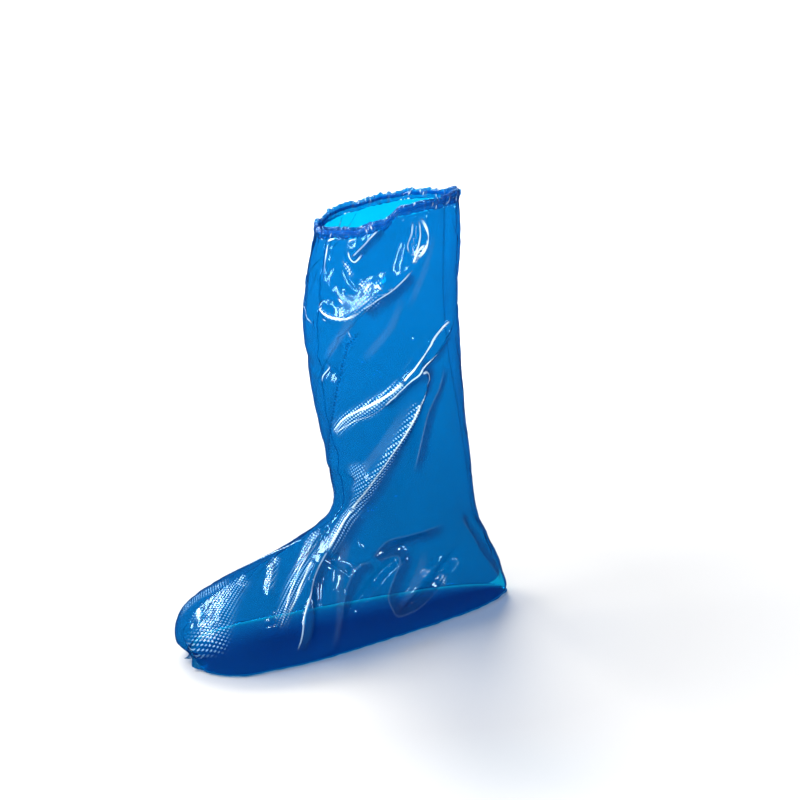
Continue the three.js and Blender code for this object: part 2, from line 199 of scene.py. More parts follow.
# A smooth step from 0 to 1.
def ramp(value):
    value = np.clip(value, 0, 1)
    return value * value * (3 - 2 * value)


# A smooth line through a table's points.
def spline(path):
    ends = np.array([path[0], *path, path[-1]], float)
    line = []
    for k in range(len(path) - 1):
        a, b, c, d = ends[k : k + 4]
        for t in np.arange(12) / 12:
            line.append(b + 0.5 * t * (c - a + t * (2 * a - 5 * b + 4 * c - d + t * (3 * (b - c) + d - a))))
    return np.array(line + [ends[-1]])


# How far spots lie to one hand of a line, below zero on its right, and where along it, from 0 to 1.
def from_line(spots, line):
    start, step = line[:-1], np.diff(line, axis=0)
    offset = spots[:, None] - start
    along = np.clip((offset * step).sum(-1) / (step**2).sum(-1), 0, 1)
    gap = offset - along[..., None] * step
    distance = np.linalg.norm(gap, axis=-1)
    nearest = distance.argmin(1)
    pick = np.arange(len(spots))
    hand = np.sign(step[nearest, 0] * gap[pick, nearest, 1] - step[nearest, 1] * gap[pick, nearest, 0])
    return distance[pick, nearest] * hand, (nearest + along[pick, nearest]) / len(step)


# Which spots of the flat panel lie within reach of the box round a line.
def beside(flat, line, reach):
    return np.all((flat > line.min(0) - reach) & (flat < line.max(0) + reach), axis=-1)


# One fold's height over the flat panel. Its line wanders a little.
def fold_height(flat, wander, path, height, before, behind, sharp, fade_in, fade_out):
    line = spline(path)
    total = np.zeros(flat.shape[:2])
    near = beside(flat, line, max(before, behind) + 3)
    offset, share = from_line(flat[near] + wander[near][:, None] * 1.2, line)
    d = np.abs(offset) / np.where(offset > 0, before, behind)
    soft = np.cos(np.pi / 2 * np.clip(d, 0, 1)) ** 2
    crisp = np.clip(1.1 - np.sqrt(d * d + 0.01), 0, 1) ** 2
    strength = ramp(share / fade_in + 0.1) * ramp((1 - share) / fade_out + 0.1)
    total[near] = height * strength * (sharp * crisp + (1 - sharp) * soft) * (d < 1)
    return total


# Creases, drawn like the folds. Each lays a narrow ridge in the bump and a thin painted highlight of pale
# colour along its line, and the wide faint rows are painted sheen. A row holds a name, the strand, which
# parts lines that run close together, the path, half the line's width, how strong its ridge and painted
# highlight are, from 0 to 1, the shares of its length over which it comes and goes, how far to either hand
# the emboss shows a band of painted highlight specks, and how far the film lies doubled, a deeper tint that
# is partly painted shade, to the left of the line or, below zero, to the right.
LEFT_CREASES = [
    ("swag_edge", 0, [(-114, 324), (-104, 318), (-88, 316), (-76, 319), (-64, 328)],
     1.3, 1.0, 0.1, 0.3, 3, 0),
    ("swag_rise", 0, [(-66, 326), (-51, 337), (-38, 346), (-29, 354), (-20, 362)],
     0.8, 0.7, 0.1, 0.2, 0, -12),
    ("upper_pull", 0, [(30, 306), (17, 302), (-1, 290), (-21, 267), (-32, 254)],
     0.8, 0.9, 0.1, 0.1, 0, 0),
    ("upper_pull_end", 0, [(-30, 256), (-41, 246), (-59, 233), (-81, 218), (-103, 196)],
     1.3, 0.9, 0.1, 0.2, 5, 0),
    ("upper_pull_under", 1, [(28, 298), (14, 284), (-12, 267), (-28, 253), (-50, 230)],
     0.8, 0.8, 0.1, 0.1, 0, 12),
    ("upper_pull_lip", 1, [(-46, 233), (-58, 221), (-70, 216), (-89, 203), (-98, 197)],
     0.9, 0.7, 0.1, 0.2, 4, 0),
    ("upper_pull_band", 2, [(-46, 240), (-62, 228), (-82, 213), (-100, 198)],
     2.5, 0.25, 0.2, 0.1, 9, 0),
    ("long_pull_bend", 2, [(-14, 264), (-7, 263), (-4, 256), (-9, 244), (-17, 229)],
     1.0, 0.9, 0.1, 0.1, 0, 12),
    ("long_pull", 2, [(-14, 235), (-23, 216), (-40, 184), (-60, 142), (-78, 114)],
     1.2, 1.0, 0.1, 0.1, 7, 16),
    ("long_pull_end", 2, [(-74, 119), (-87, 105), (-101, 92), (-116, 77)], 1.3, 0.7, 0.1, 0.2, 7, 16),
    ("foot_pull", 2, [(-112, 81), (-133, 58), (-152, 32), (-170, 7), (-178, -22)],
     0.9, 0.45, 0.1, 0.1, 0, 12),
    ("bow", 0, [(-88, 92), (-110, 54), (-128, 12), (-138, -22)], 6.0, 0.08, 0.2, 0.2, 0, 0),
    ("shaft_sheen", 0, [(-28, 340), (-38, 314), (-54, 292), (-66, 276)], 5.0, 0.08, 0.3, 0.3, 0, 0),
    ("front_sheen", 2, [(-72, 320), (-86, 303), (-98, 286), (-106, 272)], 5.0, 0.09, 0.2, 0.3, 0, 0),
    ("calf_sheen", 0, [(-22, 236), (-42, 200), (-62, 168), (-76, 142)], 5.0, 0.08, 0.3, 0.3, 0, 0),
    ("hem_sheen", 1, [(4, 388), (-4, 366), (-14, 346), (-22, 326)], 4.5, 0.08, 0.2, 0.3, 0, 0),
    ("heel_sheen", 1, [(-6, 72), (-24, 44), (-44, 18), (-60, 0)], 6.0, 0.08, 0.3, 0.3, 0, 0),
    ("shin_dots", 0, [(-74, 172), (-70, 160), (-68, 148), (-66, 140)], 2.0, 0.0, 0.2, 0.2, 12, 0),
    ("foot_streak", 1, [(-124, 104), (-127, 92), (-136, 77), (-154, 56), (-172, 34), (-197, 1)],
     1.0, 0.4, 0.05, 0.1, 8, 0),
    ("foot_streak_by", 0, [(-133, 70), (-141, 61), (-156, 43), (-170, 27), (-184, 14)],
     0.9, 0.9, 0.1, 0.2, 3, 0),
    ("instep_streak", 0, [(-166, 86), (-171, 77), (-176, 66), (-184, 52), (-191, 42)],
     0.9, 0.3, 0.1, 0.3, 6, 0),
    ("ball_streak", 1, [(-204, 76), (-207, 72), (-212, 67), (-219, 62)], 0.9, 0.6, 0.1, 0.6, 5, 0),
    ("ball_dots", 1, [(-206, 75), (-221, 60), (-236, 42), (-250, 22), (-263, 0)],
     2.0, 0.0, 0.1, 0.1, 15, 0),
    ("toe_glint", 2, [(-259, 50), (-254, 52), (-255, 45), (-258, 35)], 2.2, 0.7, 0.2, 0.3, 6, 0),
    ("shin_dent", 2, [(-106, 264), (-111, 258), (-114, 252), (-115, 246)], 0.9, 0.7, 0.2, 0.2, 0, 5),
    ("spray_a", 1, [(-6, 379), (-11, 376), (-17, 371), (-21, 366)], 0.9, 0.9, 0.2, 0.2, 0, 0),
    ("spray_b", 2, [(-10, 396), (-4, 388), (-3, 382), (-8, 375), (-16, 369)], 1.2, 0.9, 0.2, 0.2, 0, 0),
    ("spray_c", 0, [(-11, 394), (-10, 386), (-12, 379), (-18, 371)], 1.3, 0.9, 0.2, 0.2, 0, 0),
    ("spray_d", 1, [(-18, 393), (-18, 385), (-22, 378), (-21, 373)], 1.0, 0.6, 0.2, 0.2, 0, 0),
    ("hook", 1, [(-78, 379), (-78, 373), (-75, 369), (-71, 371), (-66, 376)], 0.9, 0.7, 0.2, 0.2, 0, 0),
    ("hem_pleat", 0, [(-46, 396), (-54, 390), (-63, 383), (-70, 378), (-76, 373)],
     0.8, 0.5, 0.1, 0.2, 0, 7),
    ("facet_a", 2, [(-58, 351), (-62, 347), (-64, 342)], 1.6, 1.0, 0.4, 0.4, 6, 0),
    ("facet_b", 0, [(-56, 345), (-52, 349), (-48, 345)], 1.3, 1.0, 0.4, 0.4, 5, 0),
    ("facet_c", 1, [(-73, 349), (-67, 347), (-60, 343)], 0.8, 0.6, 0.3, 0.3, 5, 0),
    ("swag_dots", 2, [(-90, 334), (-78, 328), (-64, 334), (-50, 343)], 2.0, 0.0, 0.2, 0.2, 10, 0),
    ("swag_fleck", 1, [(-92, 333), (-89, 331), (-86, 329)], 1.2, 0.9, 0.4, 0.4, 0, 0),
    ("crinkle", 2, [(-90, 368), (-86, 363), (-83, 358), (-84, 353)], 1.0, 0.6, 0.3, 0.3, 5, 0),
    ("under_hem_a", 2, [(-106, 380), (-100, 384), (-92, 387)], 1.0, 0.8, 0.3, 0.3, 0, 0),
    ("under_hem_b", 2, [(-80, 385), (-74, 388), (-70, 389)], 0.8, 0.5, 0.3, 0.3, 0, 0),
    ("edge_streak", 0, [(-104, 381), (-106, 370), (-109, 358), (-110, 350)], 1.0, 0.7, 0.3, 0.3, 0, 0),
    ("edge_fleck", 1, [(-112, 311), (-108, 310), (-103, 311)], 1.0, 0.6, 0.4, 0.4, 0, 0),
    ("shaft_fleck", 1, [(-80, 306), (-79, 302), (-77, 298)], 1.0, 0.5, 0.4, 0.4, 0, 0),
    ("calf_line", 1, [(20, 262), (14, 240), (6, 209), (-2, 178), (-12, 150)],
     0.8, 0.25, 0.2, 0.2, 0, 9),
    ("heel_lap", 2, [(46, 92), (57, 74), (72, 50), (88, 26), (96, 6)], 0.8, 0.15, 0.1, 0.1, 0, 10),
    # The next three paint shade beside their folds, as doubled film with a deeper tint.
    ("ankle_fold_shade", 0, [(-71, 66), (-49, 85), (-17, 90), (24, 93)], 1.0, 0.12, 0.1, 0.2, 0, -14),
    ("heel_fold_shade", 2, [(-73, 62), (-40, 65), (-54, 41), (-69, 16), (-56, -4), (-23, 2), (16, 33)],
     1.0, 0.12, 0.1, 0.2, 0, 13),
    ("arch_fold_shade", 1, [(-128, 5), (-111, 34), (-90, 58), (-73, 62)], 1.0, 0.12, 0.2, 0.2, 0, -12),
    ("heel_fleck", 0, [(6, 34), (3, 24), (1, 14)], 1.6, 0.3, 0.4, 0.4, 4, 0),
]
RIGHT_CREASES = [
    ("swag_edge", 0, [(-112, 300), (-84, 312), (-56, 336), (-34, 362)], 1.0, 0.6, 0.2, 0.2, 0, 0),
    ("upper_pull", 0, [(34, 300), (10, 280), (-22, 250), (-64, 214)], 0.9, 0.6, 0.1, 0.2, 0, 0),
    ("long_pull", 1, [(14, 270), (-8, 232), (-34, 172), (-58, 118), (-100, 84)],
     1.0, 0.6, 0.1, 0.2, 4, 0),
    ("foot_pull", 2, [(-92, 86), (-120, 58), (-146, 24), (-164, -20)], 0.9, 0.5, 0.2, 0.2, 3, 0),
    ("foot_streak", 0, [(-136, 98), (-158, 70), (-180, 40), (-200, 8)], 1.0, 0.7, 0.1, 0.2, 5, 0),
    ("toe_dots", 1, [(-210, 66), (-226, 52), (-242, 34), (-252, 18)], 2.0, 0.0, 0.2, 0.2, 10, 0),
    ("spray_a", 1, [(8, 396), (2, 386), (-4, 374), (-16, 364)], 1.0, 0.6, 0.2, 0.2, 0, 0),
    ("spray_b", 2, [(-12, 396), (-12, 384), (-18, 372), (-26, 364)], 1.0, 0.5, 0.2, 0.2, 0, 0),
]


# What the creases do at each spot: how many half-widths off it lies from the nearest line of each strand,
# how strong that line's ridge and painted highlight are, and how much of the emboss's painted highlight
# specks and of doubled film, partly painted shade, shows.
FAR_OFF = 9.0  # stands for a spot that no line of the strand comes near


def crease_marks(flat, wander, creases):
    near_line = np.full(flat.shape[:2] + (3,), FAR_OFF)
    ridge_and_painted_highlight = np.zeros(near_line.shape)
    shade_and_highlight_bands = np.zeros(near_line.shape)
    for _, strand, path, width, shine, fade_in, fade_out, dots, double_film_and_shade in creases:
        line = spline(path)
        near = beside(flat, line, max(8, 1.3 * dots, 1.3 * abs(double_film_and_shade)))
        offset, share = from_line(flat[near] + wander[near][:, None] * 0.8, line)
        strength = ramp(share / fade_in) * ramp((1 - share) / fade_out)
        closer = np.abs(offset / width) < np.abs(near_line[near, strand])
        fall = shine * strength * (1 - ramp((np.abs(offset) - 3.5) / 3))
        near_line[near, strand] = np.where(closer, offset / width, near_line[near, strand])
        ridge_and_painted_highlight[near, strand] = np.where(closer, fall, ridge_and_painted_highlight[near, strand])
        # A band of painted highlight specks on the emboss to either hand of the line.
        if dots:
            dotted_highlight_band = (0.7 + 0.3 * shine) * strength * (1 - ramp((np.abs(offset) / dots - 0.5) / 0.7))
            shade_and_highlight_bands[near, 0] = np.maximum(shade_and_highlight_bands[near, 0], dotted_highlight_band)
        # Doubled film to one hand, a deeper tint that is partly painted shade.
        if double_film_and_shade:
            side = offset / double_film_and_shade
            doubled_and_shaded = strength * ramp(side * 8) * (1 - ramp((side - 0.4) / 0.8))
            shade_and_highlight_bands[near, 1] = np.maximum(shade_and_highlight_bands[near, 1], doubled_and_shaded)
    return near_line, ridge_and_painted_highlight, shade_and_highlight_bands


GATHERS = [  # wrinkles hung from the elastic: wave length along the hem, height, and how far down they go
    (7, 0.8, 11),
    (12, 1.3, 22),
    (21, 1.7, 42),
    (38, 1.6, 75),
]


# Height of the gathers at a distance along the hem and a distance below it, in millimetres. Each panel
# has its own.
def gathers(run, below, side, seed):
    total = np.zeros(np.broadcast(run, below).shape)
    for k, (size, height, reach) in enumerate(GATHERS):
        spots = np.stack(np.broadcast_arrays(run / size * 10, below / reach * 4.0), -1)
        wave = wave_noise(spots, 6.5, seed + 3 * k + (0 if side < 0 else 50))
        rise = ramp(below / (0.5 * size) + 0.35)
        total += 2 * height * wave * rise * np.exp(-((below / reach) ** 1.5))
    return total


# How far the elastic has ridden up or down in millimetres, from the front seam, 0, round to the back
# seam, 1. The right side follows the left one only a little.
RIM_AROUND = (0.0, 0.08, 0.16, 0.22, 0.29, 0.36, 0.46, 0.60, 0.80, 1.0)
RIM_RISE = (0.0, -1.0, -3.5, -0.5, -1.0, 7.0, 5.0, 2.0, 0.5, 0.0)
RIM_SHARE = {-1: 1.0, 1: 0.3}


def rim_rise(side, around):
    return np.interp(around, RIM_AROUND, RIM_RISE) * RIM_SHARE[side]


SHIN_KINKS = [  # kinks of the film across the shin: height, reach up and down, and how far they push in
    (346, 7, -1.4),
    (322, 7, 1.6),
    (273, 5, -1.8),
    (259, 5, 2.8),
    (216, 9, -1.4),
    (174, 7, 2.4),
    (157, 5, -2.2),
]
TOE_BACK = 8  # how far the right of the toe is drawn back
TOE_ASIDE = 7  # how far the toe is pushed over to the left
TIP_RISE = 10


# The bag's front settles: the shin is kinked, and low down the toe is fuller on the left and drawn in on
# the right, with its tip turned up.
def settle_front(points):
    x, y, z = points[..., 0], points[..., 1], points[..., 2]
    toe = ramp((-205 - x) / 50)
    fuller = toe * ramp(np.abs(y) / 20) * (1 - ramp(z / np.where(y < 0, 40, 14)))
    tip = ramp((-243 - x) / 18) * np.exp(-((y / 7) ** 2)) * (1 - ramp(z / 45))
    shin = ramp((-55 - x) / 35) * np.exp(-((y / 34) ** 2))
    kink = sum(deep * np.exp(-(((z - high) / reach) ** 2)) for high, reach, deep in SHIN_KINKS)
    x = x + TOE_BACK * fuller * (y > 0) + shin * kink
    return np.stack([x, y - TOE_ASIDE * fuller, z + TIP_RISE * tip], -1)


def make_object(name, bm):
    mesh = bpy.data.meshes.new(name)
    bm.to_mesh(mesh)
    bm.free()
    piece = bpy.data.objects.new(name, mesh)
    bpy.context.scene.collection.objects.link(piece)
    return piece


# Makes an object of a sheet's grid. flat_at holds where each point lies on the flat film, in metres, for
# its UV map. A closed sheet's two ends are joined.
def make_sheet(name, bm, uv, flat_at, closed=False):
    for face in bm.faces:
        face.smooth = True
        for loop in face.loops:
            loop[uv].uv = flat_at[loop.vert]
    if closed:
        bmesh.ops.remove_doubles(bm, verts=bm.verts, dist=1e-6)
        bmesh.ops.recalc_face_normals(bm, faces=bm.faces)
    return make_object(name, bm)


PANEL_ALONG = 330
PANEL_AROUND = 124
SEAM_HOLD = 9  # how far from a seam its weld still keeps the film from folding
EDGE_HOLD = 10  # the same along the sole's edge
NO_EDGE = 60  # the distance given where a row ends at the other kind of edge
TAUT = 0.75  # how much of its slack the film loses as the foot draws it out
TAUT_FROM = -110
TAUT_RUN = 40
RIM_REACH = 55  # how far below the rim its rise and fall still tell
ANKLE = (-40, 90)


def film_panel(name, side, folds, creases, seed):
    fine = np.linspace(0, LAST_ROW, 1500)
    length = run_along(bag(side, fine, 0.5))
    places = np.interp(np.linspace(0, length[-1], PANEL_ALONG + 1), length, fine)
    rounds = np.linspace(0, 1, PANEL_AROUND + 1)
    points = bag(side, places[:, None], rounds[None])
    flat, run = laid_flat(points)
    below = np.linalg.norm(points - points[:1], axis=-1)
    seam_back = np.where(places[:, None] < HEEL_CORNER, run[:, -1:] - run, NO_EDGE)
    foot_edge = np.where(places[:, None] >= HEEL_CORNER, run[:, -1:] - run, NO_EDGE)
    hold = ramp(np.minimum(run, seam_back) / SEAM_HOLD)
    stand = ramp(foot_edge / EDGE_HOLD)

    # The table's folds, and slack film between them in broad and middling waves and in narrow ridges.
    wander = wave_noise(flat, 28, seed)
    height = np.zeros(run.shape)
    for fold in folds:
        height += fold_height(flat, wander, *fold[1:])
    give = 1 - TAUT * ramp((TAUT_FROM - flat[..., 0]) / TAUT_RUN)
    slack = 2.2 * wave_noise(points, (85, 85, 110), seed + 1)
    slack += 0.9 * wave_noise(points, (34, 34, 50), seed + 2)
    ridge = 1 - np.abs(wave_noise(points, (26, 26, 44), seed + 3)) * 3.2
    slack += 0.9 * np.clip(ridge, 0, 1) ** 3 * ramp(wave_noise(points, 70, seed + 4) * 2 + 0.6)
    height += slack * give * ramp(run / 40)
    height *= hold
    height += gathers(run, below, side, seed) * np.maximum(hold, 0.35)
    points = points + outward(points, side) * (height * stand)[..., None]

    # The rim rides up and down with the elastic, and no film crosses the seams' plane or the sole.
    points[..., 2] += rim_rise(side, rounds)[None] * (1 - ramp(below / RIM_REACH))
    points[..., 1] = side * np.maximum(side * points[..., 1], 0)
    points[..., 2] = np.maximum(points[..., 2], SOLE_TOP)
    points = settle_front(points)
    points[..., 0] -= OPENING_X
    points[..., 2] -= OPENING_Z

    # Film with length to spare crumples most under the hem and round the ankle.
    ankle = np.linalg.norm(flat - ANKLE, axis=-1)
    spare = 0.15 + 0.8 * np.exp(-((below / 45) ** 2)) + 0.5 * np.exp(-((ankle / 55) ** 2))
    spare = np.clip((spare + 0.4 * wave_noise(flat, 60, seed + 5)) * give, 0, 1)
    spare *= ramp((foot_edge - 4) / 12)

    bm = bmesh.new()
    bmesh.ops.create_grid(bm, x_segments=PANEL_ALONG, y_segments=PANEL_AROUND, size=0.5)
    uv = bm.loops.layers.uv.new("flat")
    flat_at, order, spares, pinned = {}, [], [], []
    for vert in bm.verts:
        i = round((vert.co.x + 0.5) * PANEL_ALONG)
        j = round((vert.co.y + 0.5) * PANEL_AROUND)
        flat_at[vert] = flat[i, j] * MM
        vert.co = points[i, j] * MM
        order.append((i, j))
        spares.append(float(spare[i, j]))
        pinned.append(vert.is_boundary)
    if side > 0:
        bmesh.ops.reverse_faces(bm, faces=bm.faces)
    piece = make_sheet(name, bm, uv, flat_at)
    rows, columns = np.array(order).T
    for mark, values in zip(("crease", "ridge_and_painted_highlight", "shade_and_highlight_bands"), crease_marks(flat, wander, creases)):
        made = piece.data.attributes.new(mark, "FLOAT_VECTOR", "POINT")
        made.data.foreach_set("vector", values[rows, columns].ravel())
    crinkle(piece, spares, pinned)
    return piece


# Lets the film buckle as cloth. It has up to MOST_SPARE more length than its shape needs, so it crumples
# into fine wrinkles while its seams stay where they are.
LEAST_SPARE = 0.006
MOST_SPARE = 0.035
LIGHT_HOLD = 0.08  # how firmly the film keeps to its shape away from the seams
CRINKLE_STEPS = 14


def crinkle(piece, spares, pinned):
    hold = piece.vertex_groups.new(name="hold")
    loose = piece.vertex_groups.new(name="loose")
    for k, (spare, pin) in enumerate(zip(spares, pinned)):
        hold.add([k], 1.0 if pin else LIGHT_HOLD, "REPLACE")
        loose.add([k], spare, "REPLACE")
    cloth = piece.modifiers.new("crinkle", "CLOTH")
    film = cloth.settings
    film.quality = 5
    film.mass = 0.02
    film.tension_stiffness = 30
    film.compression_stiffness = 30
    film.shear_stiffness = 15
    film.bending_stiffness = 0.3
    film.shrink_min = -LEAST_SPARE
    film.shrink_max = -MOST_SPARE
    film.vertex_group_shrink = "loose"
    film.vertex_group_mass = "hold"
    film.effector_weights.gravity = 0
    cloth.collision_settings.use_collision = False
    scene = bpy.context.scene
    for step in range(1, CRINKLE_STEPS + 1):
        scene.frame_set(step)
    settled = piece.evaluated_get(bpy.context.evaluated_depsgraph_get()).to_mesh()
    spots = np.empty(3 * len(settled.vertices))
    settled.vertices.foreach_get("co", spots)
    piece.to_mesh_clear()
    piece.modifiers.remove(cloth)
    piece.vertex_groups.clear()
    spots = spots.reshape(-1, 3)
    spots[:, 2] = np.maximum(spots[:, 2], (SOLE_TOP - OPENING_Z) * MM)
    piece.data.vertices.foreach_set("co", spots.ravel())
    piece.data.update()
    scene.frame_set(1)


# A node's socket that can be added and multiplied like a number. Any other Math node comes by maths.
class Wire:
    def __init__(self, finish, socket):
        self.finish = finish
        self.socket = socket

    def maths(self, operation, *others):
        sockets = dict(enumerate((self, *others)))
        return self.finish.node("ShaderNodeMath", {"operation": operation}, sockets)

    # Another output of the node that this wire comes from.
    def output(self, number):
        return Wire(self.finish, self.socket.node.outputs[number])

    def __add__(self, other):
        return self.maths("ADD", other)

    def __mul__(self, other):
        return self.maths("MULTIPLY", other)

    def __pow__(self, other):
        return self.maths("POWER", other)

    def __sub__(self, other):
        return self.maths("SUBTRACT", other)

    def __rsub__(self, other):
        return self * -1.0 + other

    __radd__ = __add__
    __rmul__ = __mul__


# A material being wired up. node adds one node, sets it up, fills its sockets and gives one output.
class Finish:
    def __init__(self, name):
        self.material = bpy.data.materials.new(name)
        self.material.use_nodes = True
        self.tree = self.material.node_tree
        self.tree.nodes.clear()

    def node(self, kind, settings, sockets, out=0):
        made = self.tree.nodes.new(kind)
        for key, value in settings.items():
            setattr(made, key, value)
        for key, value in sockets.items():
            if isinstance(value, Wire):
                self.tree.links.new(value.socket, made.inputs[key])
            else:
                made.inputs[key].default_value = value
        return Wire(self, made.outputs[out]) if made.outputs else made


# Thin blue film: light passes tinted, more so where the film turns away and there is more of it to cross. A
# glossy skin catches the lamps. It is embossed all over with small dots in a diamond grid, which are
# duller, and within the crease marks' highlight bands their specks are painted paler, as painted highlight
# specks. Faint crinkles cross it, and sharp creases and the hem's pleats get thin painted highlights of
# pale colour. thin and slanted are the tints of film seen square on and at a slant, body is the colour of
# its skin, density is how much of that shows all over, and the rest are how strong each kind of relief is,
# and for emboss and pleats also their painted highlights.
EMBOSS_PITCH = 0.0040
# Painted highlight colours, mixed into the skin's colour on the specks and on the crease lines.
PAINTED_SPECK_HIGHLIGHT = (0.45, 0.78, 1.0, 1)
PAINTED_CREASE_HIGHLIGHT = (0.68, 0.89, 1.0, 1)


def film_finish(name, thin, slanted, body, density, emboss, creases, pleats):
    film = Finish(name)
    smooth = {"interpolation_type": "SMOOTHSTEP"}
    colours = {"data_type": "RGBA"}
    flat = film.node("ShaderNodeUVMap", {"uv_map": "flat"}, {})
    u = film.node("ShaderNodeSeparateXYZ", {}, {0: flat})
    turn = 2 * math.pi / EMBOSS_PITCH
    waves = (u * turn).maths("SINE") * (u.output(1) * turn).maths("SINE")
    dots = film.node("ShaderNodeMapRange", smooth, {0: waves, 1: 0.15, 2: 0.65})

    # Crinkles, along the edges of bent cells, which come and go like clouds, and the hem's fine pleats,
    # whose crests also get a painted highlight of pale colour.
    place = film.node("ShaderNodeTexCoord", {}, {}, out=3)
    warp = film.node("ShaderNodeTexNoise", {}, {"Vector": place, "Scale": 30.0, "Detail": 2.0}, out=1)
    bent = film.node("ShaderNodeMix", {"data_type": "VECTOR"}, {0: 0.035, 4: place, 5: warp}, out=1)
    stretched = {0: bent, "Rotation": (0.0, 0.6, 0.0), "Scale": (1.0, 1.0, 0.45)}
    stretch = film.node("ShaderNodeMapping", {}, stretched)
    edges = {"feature": "DISTANCE_TO_EDGE"}
    cells = film.node("ShaderNodeTexVoronoi", edges, {"Vector": stretch, "Scale": 60.0})
    cloud = film.node("ShaderNodeTexNoise", {}, {"Vector": place, "Scale": 22.0, "Detail": 2.0})
    crumple = (cells * 6.0).maths("MINIMUM", 1.0) * ((cloud - 0.42) * 4.0).maths("MAXIMUM", 0.0)
    drawn = film.node("ShaderNodeMapping", {}, {0: flat, "Scale": (260.0, 45.0, 1.0)})
    pleat = film.node("ShaderNodeTexNoise", {}, {"Vector": drawn, "Scale": 1.0, "Detail": 1.0})
    painted_pleat_highlight = film.node("ShaderNodeMapRange", smooth, {0: pleat, 1: 0.54, 2: 0.70})

    # The marks of the creases. Each strand's line has a core of painted highlight and a wider flank that
    # stands up.
    marks = []
    for mark in ("crease", "ridge_and_painted_highlight", "shade_and_highlight_bands"):
        read = film.node("ShaderNodeAttribute", {"attribute_name": mark}, {}, out=1)
        x = film.node("ShaderNodeSeparateXYZ", {}, {0: read})
        marks.append((x, x.output(1), x.output(2)))
    offsets, ridges_and_painted_highlights, (dotted_highlight_band, double_film_and_shade, lightened_edge) = marks
    dotted_highlight_band = dotted_highlight_band * (cloud * 0.8 + 0.6)
    # line adds up the painted highlights: the pleats' pale crests on the hem and each crease's core.
    line = painted_pleat_highlight * (0.2 * pleats)
    ridge = 0.0
    for off, ridge_and_painted_highlight in zip(offsets, ridges_and_painted_highlights):
        near = {0: off.maths("ABSOLUTE"), 3: 1.0, 4: 0.0}
        core = film.node("ShaderNodeMapRange", smooth, {**near, 1: 0.35, 2: 1.15})
        flank = film.node("ShaderNodeMapRange", smooth, {**near, 1: 0.0, 2: 1.8})
        line = core * ridge_and_painted_highlight + line
        ridge = flank * ridge_and_painted_highlight + ridge
    gaps = dotted_highlight_band * (1.0 - dots)
    line = (line * (1.0 - gaps * 0.2)).maths("MINIMUM", 1.0)
    dotted = dotted_highlight_band * 0.98 + 0.02
    # The emboss specks within the highlight bands: duller, and painted paler as painted highlight specks.
    specks = dots * dotted * emboss

    crinkled = {"Strength": creases, "Distance": 0.0005, "Height": crumple + pleat * (2.5 * pleats)}
    crinkle_bump = film.node("ShaderNodeBump", {}, crinkled)
    creased = {"Strength": 1.0, "Distance": 0.0012, "Height": ridge, "Normal": crinkle_bump}
    crease_bump = film.node("ShaderNodeBump", {}, creased)
    embossed = {"Strength": emboss, "Distance": 0.00012, "Height": waves * dotted, "Normal": crease_bump}
    bump = film.node("ShaderNodeBump", {}, embossed)
    # Painted highlights: pale colour mixed into the skin on the specks and on the crease lines.
    painted_speck_colour = film.node("ShaderNodeMix", colours, {0: specks * 0.7, 6: body, 7: PAINTED_SPECK_HIGHLIGHT}, out=2)
    colour_with_painted_highlights = film.node("ShaderNodeMix", colours, {0: line, 6: painted_speck_colour, 7: PAINTED_CREASE_HIGHLIGHT}, out=2)
    dull = specks * 0.28 + dotted_highlight_band * (0.03 * emboss) + 0.08
    glossy = {"Base Color": colour_with_painted_highlights, "Roughness": dull, "IOR": 2.2, "Normal": bump}
    skin = film.node("ShaderNodeBsdfPrincipled", {}, glossy)

    # The light that passes is tinted deeper at a slant and where film lies doubled, which is partly painted
    # shade, and not at all where the sole's edges are painted clear, which is painted light. The more
    # slanted, cloudy, doubled, specked or creased the film is, the more its skin shows, and with it the
    # painted highlights and painted shade.
    edge = film.node("ShaderNodeLayerWeight", {}, {"Blend": 0.5, "Normal": crinkle_bump}, out=1)
    thin_part = film.node("ShaderNodeBsdfTransparent", {}, {"Color": thin})
    slanted_part = film.node("ShaderNodeBsdfTransparent", {}, {"Color": slanted})
    open_part = film.node("ShaderNodeBsdfTransparent", {}, {"Color": (1.0, 1.0, 1.0, 1)})
    deep = (edge**4.0 + double_film_and_shade * 0.9).maths("MINIMUM", 1.0)
    clear = film.node("ShaderNodeMixShader", {}, {0: deep, 1: thin_part, 2: slanted_part})
    clear = film.node("ShaderNodeMixShader", {}, {0: lightened_edge, 1: clear, 2: open_part})
    share = (edge**8.0) * 0.3 + cloud * (density * 0.6) + density * 0.7 + double_film_and_shade * 0.2
    share = share * (1.0 - gaps * (0.6 * emboss))
    share = ((share + specks * 0.42 + line * 0.85) * (1.0 - lightened_edge)).maths("MINIMUM", 1.0)
    mixed = film.node("ShaderNodeMixShader", {}, {0: share, 1: clear, 2: skin})
    film.node("ShaderNodeOutputMaterial", {}, {0: mixed})
    return film.material


film = film_finish(
    "blue_film",
    thin=(0.02, 0.64, 0.84, 1),
    slanted=(0.005, 0.48, 0.73, 1),
    body=(0.0, 0.06, 0.18, 1),
    density=0.12,
    emboss=1.0,
    creases=0.3,
    pleats=0.0,
)
FILM_THICK = 0.25 * MM


# Gives a sheet the thickness of its film, on one side of it for an offset of -1 or on both for 0.
def thicken(piece, offset):
    wall = piece.modifiers.new("wall", "SOLIDIFY")
    wall.thickness = FILM_THICK
    wall.offset = offset


for name, side, folds, creases, seed, node in (
    ("left_panel_film", -1, LEFT_FOLDS, LEFT_CREASES, 3, "left_panel"),
    ("right_panel_film", 1, RIGHT_FOLDS, RIGHT_CREASES, 11, "right_panel"),
):
    piece = film_panel(name, side, folds, creases, seed)
    piece.data.materials.append(film)
    thicken(piece, -1)
    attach(piece, "root")
    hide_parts(node)

